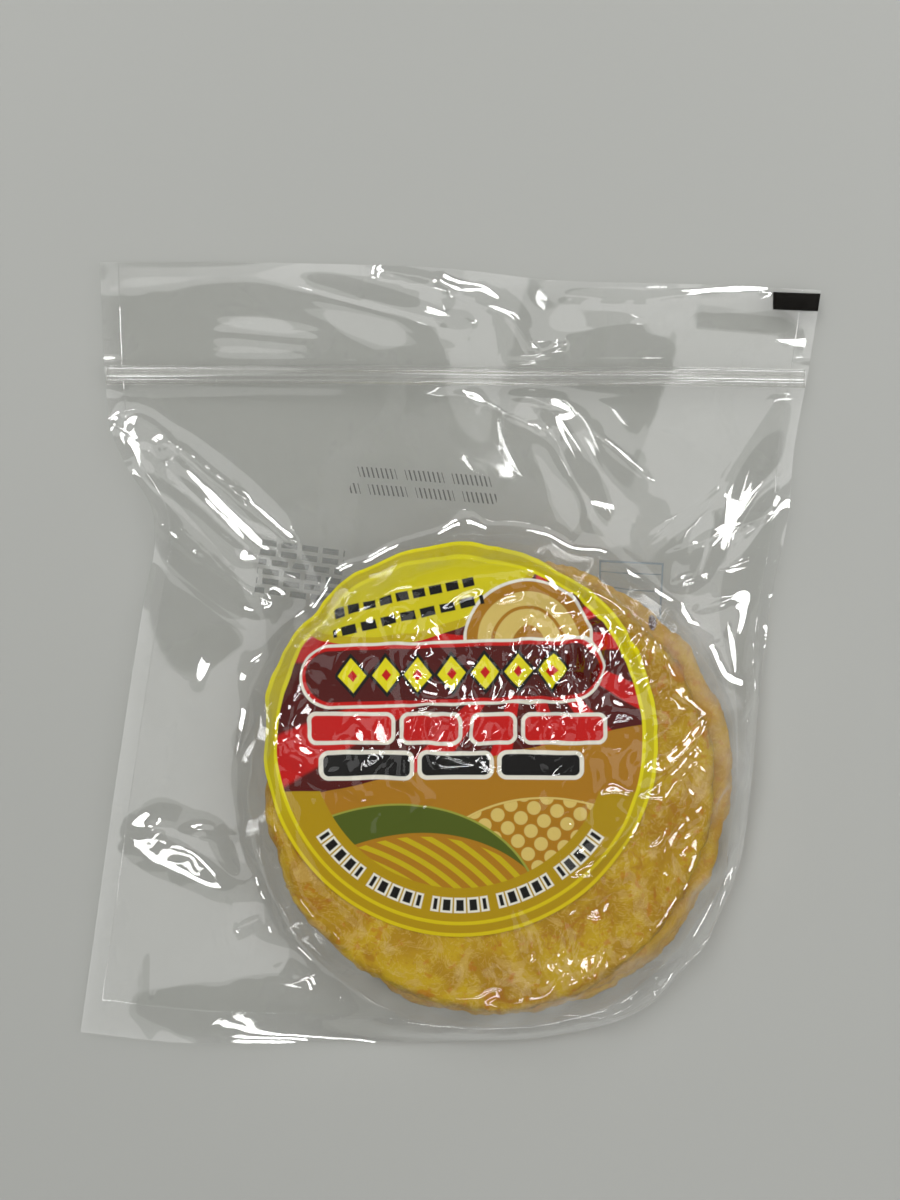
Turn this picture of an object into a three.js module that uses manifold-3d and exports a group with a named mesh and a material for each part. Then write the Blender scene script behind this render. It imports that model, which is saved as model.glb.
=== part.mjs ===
// A sealed, see-through pouch holding a fanned stack of four flat corn cakes, lying on its back.
// The pouch is one closed body: the film is drawn tight over the stack, its flat margins meet in one
// skin all round, a press-to-close zip runs across the head, and the near right corner is turned under.
//
// Units are millimetres. X runs across the pouch, Y from its foot to its head, Z up.
// The origin is on the table, under the middle of the pouch's outline.

import * as THREE from 'three';
import { mergeVertices } from 'three/addons/utils/BufferGeometryUtils.js';
import Module from 'manifold-3d';

const wasm = await Module();
wasm.setup();

// ---- Driving sizes ----

const pouchWidth = 199;
const pouchHeight = 210;
const cakeRadius = 58;
const cakeThickness = 6.5;
const cakeShoulder = 2.6;       // rounding of a cake's edge under the film
const skin = 1.0;               // both films together, with the air between them
const edgeThickness = 0.8;      // the sealed rim
const seamHeight = 10.5;        // where the two films meet beside the stack
const wallSpread = 0.5;         // how far out the film runs for each millimetre that it drops
const zipWidth = 3.2;
const zipThickness = 2.6;
const headArch = 4.5;           // rise of the head between the zip and the top edge

const halfWidth = pouchWidth / 2;
const halfHeight = pouchHeight / 2;

// Centres of the cakes from the bottom one up: the stack is fanned towards the near right.
const cakeCentres = [
  new THREE.Vector2(12.5, -36.5),
  new THREE.Vector2(14.0, -38.0),
  new THREE.Vector2(16.0, -33.0),
  new THREE.Vector2(10.0, -33.3),
];
const stackCentre = new THREE.Vector2(12, -35);

// ---- The pouch's edges, as points with their height above the table ----

const footLeft = [-halfWidth, -102, 2.4];
const footRight = [69, -76, 6];             // where the corner is turned under
const zipRight = [95.5, 73.5, 5];
const zipLeft = [-92.5, 74.5, 4.5];
const headRight = [halfWidth, 97.5, 2.5];
const headLeft = [-94, halfHeight, 2];

const footEdge = [footLeft, [-70, -104.4, 4.5], [-40, -105, 1.5], [-8, -104.6, 1], [29, -102.5, 2], [52, -95, 4], footRight];
const rightEdge = [footRight, [77.5, -57, 3], [80.5, -34, 4.5], [83.5, -7, 3], [86, 14, 4], [90, 36, 7], [92.5, 57, 4], zipRight];
const zipLine = [zipRight, [60, 73.7, 8], [20, 73.9, 6], [-10, 74, 8.5], [-50, 74.3, 7], zipLeft];
const leftEdge = [zipLeft, [-90.5, 60, 6], [-86, 50, 7.5], [-80, 40, 5], [-79, 31, 3.5], [-82, 14, 4.5], [-89.2, -34, 6], [-95, -72, 3.5], footLeft];
const headEdge = [headRight, [66, 98.5, 5], [30, 99.8, 3], [2, 102.4, 6], [-30, 104, 3], [-60, 104.6, 4.5], headLeft];

const curveOf = (points) => new THREE.CatmullRomCurve3(points.map((p) => new THREE.Vector3(...p)));

const zipCurve = curveOf(zipLine);
const headCurve = curveOf(headEdge);

// ---- Folds ----

// Long folds that stand up in the margins: from the stack outwards, with height and half-width.
const folds = [
  { from: [-43, 17], to: [-89, 57], height: 4.5, halfWidth: 7 },
  { from: [-46, 10], to: [-80, 34], height: 3.0, halfWidth: 5 },
  { from: [-48, -58], to: [-86, -44], height: 3.2, halfWidth: 6 },
  { from: [-34, -82], to: [-76, -92], height: 2.2, halfWidth: 6 },
  { from: [58, 20], to: [90, 38], height: 3.2, halfWidth: 6 },
  { from: [40, 30], to: [22, 66], height: 3.0, halfWidth: 7 },
];

const smooth = (t) => THREE.MathUtils.smoothstep(t, 0, 1);

// Height of the folds at a point, each one a rounded crest that fades at both ends.
function foldHeight(p) {
  let total = 0;
  for (const fold of folds) {
    const a = new THREE.Vector2(...fold.from);
    const run = new THREE.Vector2(...fold.to).sub(a);
    const offset = p.clone().sub(a);
    const along = offset.dot(run) / run.lengthSq();
    const across = Math.abs(offset.cross(run)) / run.length();
    const crest = smooth(1 - across / fold.halfWidth);
    total += fold.height * crest * smooth((along + 0.1) / 0.3) * smooth((1.1 - along) / 0.3);
  }
  return total;
}

// ---- Heights of the two films over the stack and its margins ----

// Height of the line where the films meet: share is 0 beside the stack and 1 at the edge.
function meetingHeight(p, edgeHeight, share) {
  const base = THREE.MathUtils.lerp(seamHeight, edgeHeight, smooth(share));
  return base + foldHeight(p) * smooth(share / 0.15) * smooth((1 - share) / 0.1);
}

// Film over one cake's edge: flat, round the shoulder, then down the wall to the meeting height.
function drape(d, level, meeting, room) {
  const drop = level - meeting;
  if (d <= -cakeShoulder) return level;
  if (d <= 0) {
    const a = (d + cakeShoulder) / cakeShoulder;
    return level - Math.sign(drop) * cakeShoulder * (1 - Math.sqrt(Math.max(0, 1 - a * a)));
  }
  const spread = Math.min(wallSpread * Math.abs(drop), room);
  const left = Math.max(0, 1 - d / spread);
  return meeting + (drop - Math.sign(drop) * cakeShoulder) * Math.pow(left, 1.5);
}

// [front film, back film] heights at a point of the margin or the stack.
function filmHeights(p, edgeHeight, share, room) {
  const meeting = meetingHeight(p, edgeHeight, share);
  const half = THREE.MathUtils.lerp(skin, edgeThickness, share) / 2;
  let front = meeting + half;
  let back = meeting - half;
  cakeCentres.forEach((centre, n) => {
    const d = p.distanceTo(centre) - cakeRadius;
    front = Math.max(front, drape(d, (n + 1) * cakeThickness, meeting + half, room));
    back = Math.min(back, drape(d, n * cakeThickness, meeting - half, room));
  });
  return [front, Math.max(0, back)];
}

// ---- The pouch below the zip ----

// Distance from the stack's centre to a cake's edge along a direction.
function reachOfCake(direction, centre) {
  const offset = centre.clone().sub(stackCentre);
  const along = offset.dot(direction);
  return along + Math.sqrt(along * along + cakeRadius ** 2 - offset.lengthSq());
}

function turnOf(x, y) {
  return (Math.atan2(y - stackCentre.y, x - stackCentre.x) / (2 * Math.PI) + 1) % 1;
}

// Directions from the stack's centre, with the distance and height of the edge along each one.
// The steps are even, but the nearest one is moved onto each sharp corner.
function raysToEdge(count) {
  const seen = [];
  for (const edge of [footEdge, rightEdge, zipLine, leftEdge]) {
    for (const q of curveOf(edge).getPoints(200).slice(0, -1)) {
      const reach = Math.hypot(q.x - stackCentre.x, q.y - stackCentre.y);
      seen.push({ turn: turnOf(q.x, q.y), reach, height: q.z });
    }
  }
  seen.sort((a, b) => a.turn - b.turn);
  const last = seen[seen.length - 1];
  const ring = [{ ...last, turn: last.turn - 1 }, ...seen, { ...seen[0], turn: seen[0].turn + 1 }];
  const turns = Array.from({ length: count }, (_, j) => j / count);
  for (const [x, y] of [footLeft, zipLeft, zipRight]) {
    const turn = turnOf(x, y);
    turns[Math.round(turn * count) % count] = turn;
  }
  return turns.map((turn) => {
    const k = ring.findIndex((r) => r.turn >= turn);
    const [a, b] = [ring[k - 1], ring[k]];
    const t = (turn - a.turn) / Math.max(1e-9, b.turn - a.turn);
    return {
      turn,
      reach: THREE.MathUtils.lerp(a.reach, b.reach, t),
      height: THREE.MathUtils.lerp(a.height, b.height, t),
    };
  });
}

const topShares = [0.5];                 // of the top cake's reach, on its flat face
const shoulderSteps = [-5, -2.6, -1.1, -0.2, 0.5];
const wallShares = [0.12, 0.35, 0.65, 1];
const marginShares = [0.1, 0.22, 0.35, 0.5, 0.65, 0.8, 0.92, 1];

// Points from the stack's centre to the edge along one ray, with both films' heights.
function pointsOnRay({ turn, reach, height }) {
  const direction = new THREE.Vector2(Math.cos(turn * 2 * Math.PI), Math.sin(turn * 2 * Math.PI));
  const top = reachOfCake(direction, cakeCentres[cakeCentres.length - 1]);
  const stack = Math.max(top + 1.5, ...cakeCentres.map((c) => reachOfCake(direction, c)));
  const room = Math.min(8, 0.55 * (reach - stack));
  const stations = [
    ...topShares.map((s) => [top * s, 0]),
    ...shoulderSteps.map((s) => [top + s, 0]),
    [THREE.MathUtils.lerp(top + 0.5, stack, 0.6), 0],
    [stack, 0],
    ...wallShares.map((s) => [stack + s * room, 0]),
    ...marginShares.map((s) => [THREE.MathUtils.lerp(stack + room, reach, s), s]),
  ];
  return stations.map(([r, share]) => {
    const p = stackCentre.clone().addScaledVector(direction, r);
    return { p, heights: filmHeights(p, height, share, room) };
  });
}

function pouchGeometry(rayCount) {
  const rays = raysToEdge(rayCount).map(pointsOnRay);
  const rim = rays[0].length - 1;
  const positions = [];
  const index = [];
  const put = (p, z) => positions.push(p.x, p.y, z) / 3 - 1;
  const frontCentre = put(stackCentre, cakeCentres.length * cakeThickness);
  const backCentre = put(stackCentre, 0);
  const front = rays.map((ray) => ray.map(({ p, heights }) => put(p, heights[0])));
  const back = rays.map((ray) => ray.map(({ p, heights }) => put(p, heights[1])));
  for (let j = 0; j < rayCount; j++) {
    const n = (j + 1) % rayCount;
    const [f, g, b, c] = [front[j], front[n], back[j], back[n]];
    index.push(frontCentre, f[0], g[0], backCentre, c[0], b[0]);
    for (let k = 0; k < rim; k++) {
      index.push(f[k], f[k + 1], g[k + 1], f[k], g[k + 1], g[k]);
      index.push(b[k], c[k + 1], b[k + 1], b[k], c[k], c[k + 1]);
    }
    index.push(f[rim], b[rim], c[rim], f[rim], c[rim], g[rim]);
  }
  return indexed(positions, index);
}

// ---- The head above the zip, and the zip ----

// A closed slab over a grid of columns and rows: at(column share, row share) gives its middle point.
function slabGeometry(columns, rows, thickness, at) {
  const positions = [];
  const index = [];
  const id = (i, j, side) => ((i * (rows + 1)) + j) * 2 + side;
  for (let i = 0; i <= columns; i++) {
    for (let j = 0; j <= rows; j++) {
      const p = at(i / columns, j / rows);
      positions.push(p.x, p.y, p.z + thickness / 2, p.x, p.y, p.z - thickness / 2);
    }
  }
  const quad = (a, b, c, d) => index.push(a, b, c, a, c, d);
  for (let i = 0; i < columns; i++) {
    for (let j = 0; j < rows; j++) {
      quad(id(i, j, 0), id(i + 1, j, 0), id(i + 1, j + 1, 0), id(i, j + 1, 0));
      quad(id(i, j, 1), id(i, j + 1, 1), id(i + 1, j + 1, 1), id(i + 1, j, 1));
    }
    quad(id(i, 0, 0), id(i, 0, 1), id(i + 1, 0, 1), id(i + 1, 0, 0));
    quad(id(i, rows, 0), id(i + 1, rows, 0), id(i + 1, rows, 1), id(i, rows, 1));
  }
  for (let j = 0; j < rows; j++) {
    quad(id(0, j, 0), id(0, j + 1, 0), id(0, j + 1, 1), id(0, j, 1));
    quad(id(columns, j, 0), id(columns, j, 1), id(columns, j + 1, 1), id(columns, j + 1, 0));
  }
  return indexed(positions, index);
}

// The curves run from right to left, so the column share is turned round.
function headPoint(across, up) {
  const rise = THREE.MathUtils.lerp(0.015, 1, up);     // it starts inside the zip
  const low = zipCurve.getPoint(1 - across);
  const high = headCurve.getPoint(1 - across);
  const p = low.lerp(high, rise);
  p.z += headArch * Math.sin(Math.PI * rise) ** 2;
  return p;
}

function zipPoint(across, up) {
  const p = zipCurve.getPoint(THREE.MathUtils.lerp(0.996, 0.004, across));
  p.y += (up - 0.5) * zipWidth;
  return p;
}

// ---- Joining ----

function indexed(positions, index) {
  const geometry = new THREE.BufferGeometry();
  geometry.setAttribute('position', new THREE.Float32BufferAttribute(positions, 3));
  geometry.setIndex(index);
  return geometry;
}

function solidOf(geometry) {
  const merged = mergeVertices(geometry);
  return new wasm.Manifold(new wasm.Mesh({
    numProp: 3,
    vertProperties: new Float32Array(merged.attributes.position.array),
    triVerts: new Uint32Array(merged.index.array),
  }));
}

function geometryOf(solid) {
  const mesh = solid.getMesh();
  const geometry = new THREE.BufferGeometry();
  geometry.setAttribute('position', new THREE.BufferAttribute(mesh.vertProperties, 3));
  geometry.setIndex(new THREE.BufferAttribute(mesh.triVerts, 1));
  geometry.computeVertexNormals();
  return geometry;
}

const clearFilm = new THREE.MeshStandardMaterial({
  color: 0xe3e4df, roughness: 0.12, metalness: 0, transparent: true, opacity: 0.35,
});

const sealed = solidOf(pouchGeometry(106))
  .add(solidOf(slabGeometry(40, 8, edgeThickness, headPoint)))
  .add(solidOf(slabGeometry(48, 1, zipThickness, zipPoint)));
const bag = new THREE.Mesh(geometryOf(sealed), clearFilm);
bag.name = 'bag';

const part = new THREE.Group();
part.add(bag);

export default part;
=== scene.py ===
"""A clear zip pouch drawn over a fanned stack of flat corn cakes, lying on its back and seen from above."""

import math

import bpy
import numpy as np
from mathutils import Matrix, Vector
from mathutils.bvhtree import BVHTree
from mathutils.geometry import barycentric_transform


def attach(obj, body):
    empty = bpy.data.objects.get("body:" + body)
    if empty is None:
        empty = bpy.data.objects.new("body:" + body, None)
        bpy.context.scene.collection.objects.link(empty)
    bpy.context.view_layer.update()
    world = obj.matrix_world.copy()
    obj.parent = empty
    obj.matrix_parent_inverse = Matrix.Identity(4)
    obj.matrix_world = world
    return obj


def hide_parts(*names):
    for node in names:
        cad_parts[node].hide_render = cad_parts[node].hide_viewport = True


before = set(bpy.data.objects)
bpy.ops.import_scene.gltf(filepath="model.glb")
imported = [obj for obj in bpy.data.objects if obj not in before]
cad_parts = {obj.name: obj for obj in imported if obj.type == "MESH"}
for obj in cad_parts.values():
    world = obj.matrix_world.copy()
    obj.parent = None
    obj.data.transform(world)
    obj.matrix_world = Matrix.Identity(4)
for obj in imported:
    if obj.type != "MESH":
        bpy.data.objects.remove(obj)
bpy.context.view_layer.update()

MM = 0.001
RAY_START = 0.1     # metres above or below the ground from where rays are cast
rng = np.random.default_rng(11)

# ---- The pouch's edges, in millimetres: the same as the CAD part's ----

FOOT_LEFT = (-99.5, -102, 2.4)
FOOT_RIGHT = (69, -76, 6)
ZIP_RIGHT = (95.5, 73.5, 5)
ZIP_LEFT = (-92.5, 74.5, 4.5)
HEAD_RIGHT = (99.5, 97.5, 2.5)
HEAD_LEFT = (-94, 105, 2)
FOOT_EDGE = [FOOT_LEFT, (-70, -104.4, 4.5), (-40, -105, 1.5), (-8, -104.6, 1), (29, -102.5, 2),
             (52, -95, 4), FOOT_RIGHT]
RIGHT_EDGE = [FOOT_RIGHT, (77.5, -57, 3), (80.5, -34, 4.5), (83.5, -7, 3), (86, 14, 4),
              (90, 36, 7), (92.5, 57, 4), ZIP_RIGHT]
ZIP_LINE = [ZIP_RIGHT, (60, 73.7, 8), (20, 73.9, 6), (-10, 74, 8.5), (-50, 74.3, 7), ZIP_LEFT]
LEFT_EDGE = [ZIP_LEFT, (-90.5, 60, 6), (-86, 50, 7.5), (-80, 40, 5), (-79, 31, 3.5),
             (-82, 14, 4.5), (-89.2, -34, 6), (-95, -72, 3.5), FOOT_LEFT]
HEAD_EDGE = [HEAD_RIGHT, (66, 98.5, 5), (30, 99.8, 3), (2, 102.4, 6), (-30, 104, 3),
             (-60, 104.6, 4.5), HEAD_LEFT]
CAKES = [(12.5, -36.5), (14.0, -38.0), (16.0, -33.0), (10.0, -33.3)]     # their middles, lowest first
CAKE_RADIUS = 57.6
CAKE_THICKNESS = 6.5
STACK = (11, -34)   # the middle that folds run out from
COLUMNS = 301       # points of a film from side to side
LOWER_ROWS = 264    # and from the foot to the zip
HEAD_ROWS = 46      # and from the zip to the head's edge
CELL = 0.667        # millimetres from one point of a film to the next, about

PX = 3.729                  # pixels of the 900 px by 1200 px view for each millimetre at the margins
VIEW_MIDDLE = (450, 600)    # the pixel that lies under the camera
VIEW_Y = 14.35              # millimetres from the origin to the point under the camera


def spot(px, py):
    """Plan position in millimetres of a pixel of the view."""
    return (px - VIEW_MIDDLE[0]) / PX, VIEW_Y - (py - VIEW_MIDDLE[1]) / PX


# ---- Grids and curves ----

def smooth(t):
    t = np.clip(t, 0, 1)
    return t * t * (3 - 2 * t)


def reach_from(middle, x, y):
    return np.hypot(x - middle[0], y - middle[1])


def pairs_of(a, b):
    """Two grids of values as one list of pairs."""
    return np.stack([a, b], axis=-1).reshape(-1, 2)


def curve_points(points, count, per_span=80):
    """Points at even distances along a centripetal Catmull-Rom curve."""
    p = np.array(points, float)
    p = np.vstack([2 * p[0] - p[1], p, 2 * p[-1] - p[-2]])
    out = []
    for k in range(1, len(p) - 2):
        x0, x1, x2, x3 = p[k - 1:k + 3]
        d0, d1, d2 = [np.linalg.norm(b - a) ** 0.5 for a, b in ((x0, x1), (x1, x2), (x2, x3))]
        t1 = ((x1 - x0) / d0 - (x2 - x0) / (d0 + d1) + (x2 - x1) / d1) * d1
        t2 = ((x2 - x1) / d1 - (x3 - x1) / (d1 + d2) + (x3 - x2) / d2) * d1
        t = np.linspace(0, 1, per_span, endpoint=False)[:, None]
        out.append(x1 + t1 * t + (-3 * x1 + 3 * x2 - 2 * t1 - t2) * t ** 2
                   + (2 * x1 - 2 * x2 + t1 + t2) * t ** 3)
    out = np.vstack(out + [p[-2:-1]])
    run = np.concatenate([[0], np.cumsum(np.linalg.norm(np.diff(out, axis=0), axis=1))])
    at = np.linspace(0, run[-1], count)
    return np.stack([np.interp(at, run, out[:, i]) for i in range(3)], axis=1)


def patch(bottom, top, left, right):
    """A grid of points filled in between four edges that share their corners."""
    rows, columns = len(left), len(bottom)
    v = np.linspace(0, 1, rows)[:, None, None]
    u = np.linspace(0, 1, columns)[None, :, None]
    corners = ((1 - u) * (1 - v) * bottom[0] + u * (1 - v) * bottom[-1]
               + (1 - u) * v * top[0] + u * v * top[-1])
    return ((1 - v) * bottom[None] + v * top[None] + (1 - u) * left[:, None]
            + u * right[:, None] - corners)


def sheet_grid():
    """The plan of one film: rows from the foot to the head, columns from left to right."""
    zip_line = curve_points(ZIP_LINE, COLUMNS)[::-1]
    lower = patch(curve_points(FOOT_EDGE, COLUMNS), zip_line,
                  curve_points(LEFT_EDGE, LOWER_ROWS)[::-1], curve_points(RIGHT_EDGE, LOWER_ROWS))
    head = patch(zip_line, curve_points(HEAD_EDGE, COLUMNS)[::-1],
                 np.linspace(ZIP_LEFT, HEAD_LEFT, HEAD_ROWS),
                 np.linspace(ZIP_RIGHT, HEAD_RIGHT, HEAD_ROWS))
    return np.concatenate([lower, head[1:]])


# ---- Heights of the CAD pouch, which the films follow ----

RASTER = 0.75           # millimetres from one height to the next
RASTER_X = np.arange(-102, 102.1, RASTER)
RASTER_Y = np.arange(-108, 108.1, RASTER)
SPREAD_ROUNDS = 12      # cells by which heights spread past the pouch's edge
OUTSIDE_HEIGHT = 3.0    # height beyond those, in millimetres
FACET_BLUR = 1.3        # millimetres over which the solid's facets are smoothed away
BLUR_CELLS = 6          # cells on each side that count in smoothing


def ray_height(tree, x, y, side):
    """Where a ray from above (side 1) or below (side -1) meets a piece, in millimetres, or None."""
    hit = tree.ray_cast(Vector((x * MM, y * MM, side * RAY_START)), Vector((0, 0, -side)))[0]
    return hit and hit.z / MM


def pouch_heights():
    """Heights of the CAD pouch's front and back over a raster, spread a little past its edge."""
    tree = BVHTree.FromObject(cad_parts["bag"], bpy.context.evaluated_depsgraph_get())
    front = np.full((len(RASTER_Y), len(RASTER_X)), np.nan)
    back = front.copy()
    for j, y in enumerate(RASTER_Y):
        for i, x in enumerate(RASTER_X):
            top = ray_height(tree, x, y, 1)
            if top is not None:
                front[j, i], back[j, i] = top, ray_height(tree, x, y, -1)
    for field in (front, back):
        for _ in range(SPREAD_ROUNDS):
            hole = np.isnan(field)
            padded = np.pad(field, 1, mode="edge")
            near = np.stack([padded[1 + b:padded.shape[0] - 1 + b, 1 + a:padded.shape[1] - 1 + a]
                             for a in (-1, 0, 1) for b in (-1, 0, 1)])
            count = (~np.isnan(near)).sum(0)
            total = np.nansum(near, axis=0)
            field[hole & (count > 0)] = (total / np.maximum(count, 1))[hole & (count > 0)]
        field[np.isnan(field)] = OUTSIDE_HEIGHT
    return [blurred(field, FACET_BLUR) for field in (front, back)]


# Broad swells of the slack film above the zip. Each row is a ridge: the pixels of the view where it starts
# and ends, then its height and width in millimetres.
SWELLS = [
    (100, 300, 300, 276, 0.5, 5.0), (290, 274, 470, 352, 2.4, 6.0), (210, 338, 330, 350, 1.0, 4.0),
    (550, 346, 650, 320, 1.2, 5.5), (630, 330, 800, 348, 0.9, 6.0), (560, 300, 820, 296, 0.5, 3.5),
]

# Shapes of a ridge: the power of its flanks, how far it passes its ends, and how long it fades there.
SHARP, ROUNDED = (1, 0.08, 0.25), (2, 0.15, 0.35)


def ridge(x, y, row, shape):
    """Heights of a ridge that fades at both ends."""
    (ax, ay), (bx, by) = spot(*row[:2]), spot(*row[2:4])
    height, width = row[4:]
    dx, dy = bx - ax, by - ay
    span = math.hypot(dx, dy)
    along = ((x - ax) * dx + (y - ay) * dy) / span ** 2
    across = np.abs((x - ax) * dy - (y - ay) * dx) / span / width
    power, past, fade = shape
    return (height * np.exp(-across ** power) * smooth((along + past) / fade)
            * smooth((1 + past - along) / fade))


def slack_head(front_heights, back_heights):
    """Both films' heights, with gentle swells above the zip where the two lie slack together."""
    x, y = np.meshgrid(RASTER_X, RASTER_Y)
    zip_line, top = [curve_points(edge, COLUMNS)[::-1] for edge in (ZIP_LINE, HEAD_EDGE)]
    zip_y, zip_z = [np.interp(x, zip_line[:, 0], zip_line[:, k]) for k in (1, 2)]
    top_y, top_z = [np.interp(x, top[:, 0], top[:, k]) for k in (1, 2)]
    share = np.clip((y - zip_y) / (top_y - zip_y), 0, 1.2)
    level = zip_z + share * 0.4 * (top_z - zip_z)
    between = 4 * np.clip(share * (1 - share), 0, 1)
    for row in SWELLS:
        level += between ** 2 * ridge(x, y, row, ROUNDED)
    above = smooth((y - zip_y - 1.5) / 4)
    gap = 0.25 + 0.3 * between
    return [heights * (1 - above) + above * slack
            for heights, slack in ((front_heights, level + gap), (back_heights, level - 0.2))]


def blurred(field, reach):
    """A raster smoothed over a reach in millimetres."""
    steps = np.arange(-BLUR_CELLS, BLUR_CELLS + 1)
    weights = np.exp(-0.5 * (steps * RASTER / reach) ** 2)
    weights /= weights.sum()
    for axis in (0, 1):
        margins = [(BLUR_CELLS, BLUR_CELLS) if a == axis else (0, 0) for a in (0, 1)]
        padded = np.pad(field, margins, mode="edge")
        count = field.shape[axis]
        field = sum(w * np.take(padded, range(k, k + count), axis=axis) for k, w in enumerate(weights))
    return field


def sample(field, x, y):
    """A raster's value at points, by linear interpolation."""
    u = np.clip((x - RASTER_X[0]) / RASTER, 0, len(RASTER_X) - 1.001)
    v = np.clip((y - RASTER_Y[0]) / RASTER, 0, len(RASTER_Y) - 1.001)
    i, j = u.astype(int), v.astype(int)
    a, b = u - i, v - j
    return ((field[j, i] * (1 - a) + field[j, i + 1] * a) * (1 - b)
            + (field[j + 1, i] * (1 - a) + field[j + 1, i + 1] * a) * b)


# ---- Wrinkles ----

def band_noise(shape, wavelength, spread=0.35):
    """Smooth noise of unit size whose waves are all near one length, in cells."""
    spectrum = np.fft.fft2(rng.standard_normal(shape))
    f = np.hypot(np.fft.fftfreq(shape[0])[:, None], np.fft.fftfreq(shape[1])[None, :]) * wavelength
    spectrum *= np.exp(-((f - 1) / spread) ** 2)
    field = np.real(np.fft.ifft2(spectrum))
    return field / field.std()


# Creases that the front film is drawn over, in rows like those of SWELLS.
CREASES = [
    (174, 443, 250, 503, 2.2, 1.6), (240, 495, 300, 548, 1.8, 1.6), (118, 466, 176, 441, 2.0, 2.4),
    (112, 424, 140, 440, 1.2, 2.0), (154, 522, 206, 562, 1.8, 1.8), (200, 556, 276, 604, 1.5, 1.6),
    (176, 524, 262, 596, 1.0, 1.4), (262, 530, 274, 604, 1.0, 1.4), (425, 372, 480, 408, 1.4, 1.8),
    (475, 403, 552, 437, 1.0, 1.8), (500, 386, 572, 416, 1.2, 2.2), (565, 412, 655, 490, 1.3, 2.2),
    (782, 388, 712, 492, 0.7, 2.2), (760, 400, 700, 470, 0.3, 1.8), (716, 488, 640, 545, 0.9, 1.8),
    (655, 560, 782, 508, 1.2, 1.6), (664, 585, 774, 552, 1.1, 1.6), (680, 612, 772, 590, 0.9, 1.6),
    (692, 645, 765, 640, 1.2, 1.8), (712, 700, 758, 706, 1.0, 1.6), (736, 624, 774, 640, 1.3, 1.8),
    (740, 636, 728, 672, 1.0, 1.4), (716, 744, 756, 764, 1.2, 1.5), (742, 772, 757, 808, 1.0, 1.4),
    (708, 842, 742, 850, 1.0, 1.4), (690, 955, 712, 930, 1.2, 1.8), (376, 273, 438, 283, 1.0, 1.4),
    (434, 281, 470, 305, 1.8, 1.6), (466, 303, 514, 320, 1.6, 1.6), (510, 318, 535, 358, 1.8, 1.8),
    (533, 358, 566, 346, 1.2, 1.6), (438, 313, 478, 328, 1.0, 1.6), (560, 297, 640, 302, 0.9, 1.4),
    (636, 302, 772, 292, 0.8, 1.4), (150, 826, 212, 826, 0.8, 1.6), (200, 824, 285, 842, 0.9, 1.6),
    (238, 925, 268, 912, 1.0, 1.6), (276, 905, 302, 930, 1.0, 1.6), (150, 1035, 152, 950, 0.8, 1.6),
    (190, 1030, 330, 960, 0.6, 2.2),
]

# Where the film is crumpled rather than calm: place in the view, reach in pixels, and how much.
CRUMPLED = [
    (715, 620, 60, 0.4), (650, 460, 75, 0.25), (540, 460, 75, 0.15), (490, 315, 40, 0.5),
    (690, 310, 50, 0.2), (150, 445, 30, 0.6), (185, 840, 45, 0.25), (250, 940, 50, 0.35),
    (270, 560, 40, 0.5), (120, 600, 50, 0.1), (640, 990, 80, 0.9), (742, 760, 70, 1.0),
    (330, 480, 60, 0.1), (400, 520, 60, 0.2), (215, 690, 60, 0.15), (700, 500, 50, 0.15),
    (520, 1022, 60, 0.6),
]


def spots(x, y, places, least):
    """How strong a set of soft round spots is at points, from least to about 1."""
    total = np.full_like(x, least)
    for px, py, reach, amount in places:
        cx, cy = spot(px, py)
        total += amount * np.exp(-((x - cx) ** 2 + (y - cy) ** 2) / (reach / PX) ** 2)
    return np.minimum(total, 1.1)


def batches(rows, columns):
    """Pairs of slices that join each point to its neighbours, split so that no pair shares a point."""
    every, left, right = slice(None), slice(0, columns - 1), slice(1, columns)
    made = []
    for s in (0, 1):
        low, high = slice(s, rows - 1, 2), slice(s + 1, rows, 2)
        made += [((every, every, slice(s, columns - 1, 2)), (every, every, slice(s + 1, columns, 2))),
                 ((every, low, every), (every, high, every)),
                 ((every, low, left), (every, high, right)),
                 ((every, low, right), (every, high, left))]
    return made


CARRIED = 0.92      # share of its speed that a film keeps from one sweep to the next
TOO_LONG = 0.5      # share of its error that a stretched pair of points corrects in one sweep
TOO_SHORT = 0.32    # and a squeezed pair
GRIP = 0.6          # share of its speed that a film loses where it touches
WEIGHT = 0.0005     # how far a film sinks by itself in one sweep, in millimetres


def length(d):
    return np.sqrt(d[0] * d[0] + d[1] * d[1] + d[2] * d[2])


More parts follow.
